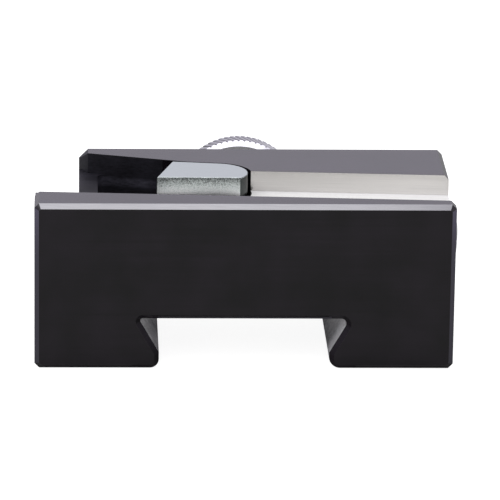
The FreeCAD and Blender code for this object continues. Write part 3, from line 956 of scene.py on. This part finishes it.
class HOLDER_OT_nut(bpy.types.Operator):
    """Model the height nut: a bevelled ring whose rim has slanted knurl teeth"""
    bl_idname = "holder.nut"
    bl_label = "Height nut"

    def execute(self, context):
        sizes = context.scene.fastener_sizes
        bevel, depth = sizes.nut_chamfer, sizes.knurl_depth
        bore_clearance, bore_chamfer = 0.00005, 0.0006
        bore = STUD_RADIUS + bore_clearance
        near, far = NUT_LOW.y, NUT_HIGH.y
        levels, tooth_sides = 6, 4
        rim_near, rim_far = near + bevel, far - bevel
        rim = [rim_near + (rim_far - rim_near) * step / levels for step in range(levels + 1)]
        start = (bore, near + bore_chamfer)
        profile = [start, (bore + bore_chamfer, near), (NUT_RADIUS - bevel, near)]
        profile += [(NUT_RADIUS, level) for level in rim]
        profile += [
            (NUT_RADIUS - bevel, far), (bore + bore_chamfer, far), (bore, far - bore_chamfer),
            start,
        ]
        sides = tooth_sides * sizes.knurl_teeth
        axis = Vector((STUD_AXIS.x, 0, STUD_AXIS.z))
        piece = add_ring("height_nut_modelled", sides, (axis.x, profile[0][1], axis.z), bore)
        draw_out(axis, profile)
        bpy.ops.object.mode_set(mode="OBJECT")

        def groove(co):
            turn = math.atan2(co.x - axis.x, co.z - axis.z) / math.radians(360) * sides
            return round(turn) % tooth_sides == 0

        def on_rim(co, low, high):
            out = math.hypot(co.x - axis.x, co.z - axis.z)
            return out > NUT_RADIUS - 1.5 * depth and low - slack < co.y < high + slack

        slack = 10 * TOUCH
        factor = 1 - depth / NUT_RADIUS
        for index, level in enumerate(rim):
            select_vertices(piece, lambda co: on_rim(co, level, level) and groove(co))
            bpy.ops.transform.resize(
                value=(factor, 1, factor), center_override=(axis.x, level, axis.z),
            )
            if index in (0, levels):
                inward = -depth if index == 0 else depth
                bpy.ops.transform.translate(value=(0, inward, 0))
        turn = sizes.knurl_twist / levels
        for index, level in enumerate(rim[1:], start=1):
            select_vertices(piece, lambda co: on_rim(co, level, level + depth))
            bpy.ops.transform.rotate(
                value=turn * index, orient_axis="Y", center_override=(axis.x, level, axis.z),
            )
        close_mesh(piece)
        seat(piece, "height_nut", "height_nut", knurled_zinc(sizes))
        return {"FINISHED"}


class HOLDER_OT_lock_nut(bpy.types.Operator):
    """Finish the hexagonal lock nut in plated steel"""
    bl_idname = "holder.lock_nut"
    bl_label = "Lock nut"

    def execute(self, context):
        sizes = context.scene.fastener_sizes
        coat("lock_nut", zinc_plate(sizes))
        return {"FINISHED"}


def camera_frame(sizes):
    """The camera's place, and its right and up directions."""
    e, a, r = sizes.camera_elevation, sizes.camera_turn, sizes.camera_roll
    forward = Vector((math.sin(a) * math.cos(e), math.cos(a) * math.cos(e), -math.sin(e)))
    level = Vector((math.cos(a), -math.sin(a), 0))
    upright = level.cross(forward)
    right = math.cos(r) * level + math.sin(r) * upright
    up = -math.sin(r) * level + math.cos(r) * upright
    return CAMERA_TARGET - forward * sizes.camera_distance, right, up, forward


def add_camera(sizes):
    """The camera, at the photograph's viewing angle."""
    place, right, up, forward = camera_frame(sizes)
    data = bpy.data.cameras.new("camera")
    data.sensor_width = 36.0
    data.lens = sizes.camera_lens
    data.shift_x = sizes.shift_x
    data.shift_y = sizes.shift_y
    data.clip_start = 0.01
    data.clip_end = 50.0
    camera = bpy.data.objects.new("camera", data)
    bpy.context.scene.collection.objects.link(camera)
    camera.rotation_mode = "QUATERNION"
    camera.rotation_quaternion = Matrix((right, up, -forward)).transposed().to_quaternion()
    camera.location = place
    bpy.context.scene.camera = camera


def pale_floor():
    """A pale floor that the camera sees nearly white, with the holder's soft shadow."""
    material, nodes, links = new_material("pale_floor")
    plain = nodes.new("ShaderNodeBsdfDiffuse")
    plain.inputs["Color"].default_value = (0.5, 0.5, 0.5, 1.0)
    glow = nodes.new("ShaderNodeEmission")
    glow.inputs["Color"].default_value = (1, 1, 1, 1)
    glow.inputs["Strength"].default_value = 0.9
    total = nodes.new("ShaderNodeAddShader")
    links.new(plain.outputs["BSDF"], total.inputs[0])
    links.new(glow.outputs["Emission"], total.inputs[1])
    seen = nodes.new("ShaderNodeLightPath").outputs["Is Camera Ray"]
    end_material(nodes, links, mix_shaders(
        nodes, links, seen, plain.outputs["BSDF"], total.outputs["Shader"],
    ))
    return material


def add_floor():
    """A plain pale floor."""
    deselect()
    bpy.ops.mesh.primitive_plane_add(size=6.0, location=(0, 0, -0.0001))
    floor = bpy.context.object
    floor.name = "floor"
    floor.data.materials.append(pale_floor())


def add_area_lamp(name, place, target, size, power):
    """A soft square lamp that faces a target."""
    data = bpy.data.lights.new(name, "AREA")
    data.shape = "SQUARE"
    data.size = size
    data.energy = power
    lamp = bpy.data.objects.new(name, data)
    bpy.context.scene.collection.objects.link(lamp)
    lamp.location = place
    lamp.rotation_mode = "QUATERNION"
    lamp.rotation_quaternion = (Vector(target) - Vector(place)).to_track_quat("-Z", "Y")


def light_world(strength):
    """A pale surround that lights evenly and that the camera and metal see as white."""
    world = bpy.data.worlds.new("surround")
    bpy.context.scene.world = world
    world.use_nodes = True
    nodes, links = world.node_tree.nodes, world.node_tree.links
    nodes.clear()
    light = nodes.new("ShaderNodeBackground")
    light.inputs["Color"].default_value = (1, 1, 1, 1)
    light.inputs["Strength"].default_value = strength
    white = nodes.new("ShaderNodeBackground")
    white.inputs["Color"].default_value = (1, 1, 1, 1)
    white.inputs["Strength"].default_value = 1.0
    cool = nodes.new("ShaderNodeBackground")
    cool.inputs["Color"].default_value = (0.91, 0.875, 1.0, 1)
    cool.inputs["Strength"].default_value = 1.0
    path = nodes.new("ShaderNodeLightPath").outputs
    mirrored = mix_shaders(
        nodes, links, path["Is Glossy Ray"], light.outputs[0], cool.outputs[0],
    )
    output = nodes.new("ShaderNodeOutputWorld")
    links.new(
        mix_shaders(nodes, links, path["Is Camera Ray"], mirrored, white.outputs[0]),
        output.inputs["Surface"],
    )


class HOLDER_OT_stage(bpy.types.Operator):
    """Add the floor, the surround, the soft lamp and the camera"""
    bl_idname = "holder.stage"
    bl_label = "Stage"

    def execute(self, context):
        context.scene.view_settings.view_transform = "Standard"
        sizes = context.scene.stage_sizes
        add_floor()
        light_world(sizes.surround_strength)
        add_area_lamp(
            "key", (-0.3, -0.25, 1.1), (0, 0, 0.02), sizes.lamp_size, sizes.lamp_power,
        )
        add_camera(sizes)
        return {"FINISHED"}


class HOLDER_PT_pieces(bpy.types.Panel):
    """The holder's pieces, and their sizes and colours"""
    bl_label = "Tool Holder"
    bl_idname = "HOLDER_PT_pieces"
    bl_space_type = "VIEW_3D"
    bl_region_type = "UI"
    bl_category = "Tool Holder"

    def draw(self, context):
        for operator in OPERATORS:
            self.layout.operator(operator.bl_idname)
        for name, group in SETTINGS.items():
            box = self.layout.box()
            for prop in group.__annotations__:
                box.prop(getattr(context.scene, name), prop)


SETTINGS = {
    "holder_finish": HolderFinish,
    "clamp_finish": ClampFinish,
    "fastener_sizes": FastenerSizes,
    "stage_sizes": StageSizes,
}
OPERATORS = [
    HOLDER_OT_block, HOLDER_OT_wedge, HOLDER_OT_screw, HOLDER_OT_stud, HOLDER_OT_nut,
    HOLDER_OT_lock_nut, HOLDER_OT_stage,
]


def register():
    for name, group in SETTINGS.items():
        bpy.utils.register_class(group)
        setattr(bpy.types.Scene, name, PointerProperty(type=group))
    for operator in OPERATORS:
        bpy.utils.register_class(operator)
    bpy.utils.register_class(HOLDER_PT_pieces)


def unregister():
    bpy.utils.unregister_class(HOLDER_PT_pieces)
    for operator in reversed(OPERATORS):
        bpy.utils.unregister_class(operator)
    for name, group in SETTINGS.items():
        delattr(bpy.types.Scene, name)
        bpy.utils.unregister_class(group)


def main():
    register()
    bpy.ops.holder.block()
    bpy.ops.holder.wedge()
    bpy.ops.holder.screw()
    bpy.ops.holder.stud()
    bpy.ops.holder.nut()
    bpy.ops.holder.lock_nut()
    bpy.ops.holder.stage()


if __name__ == "__main__":
    main()
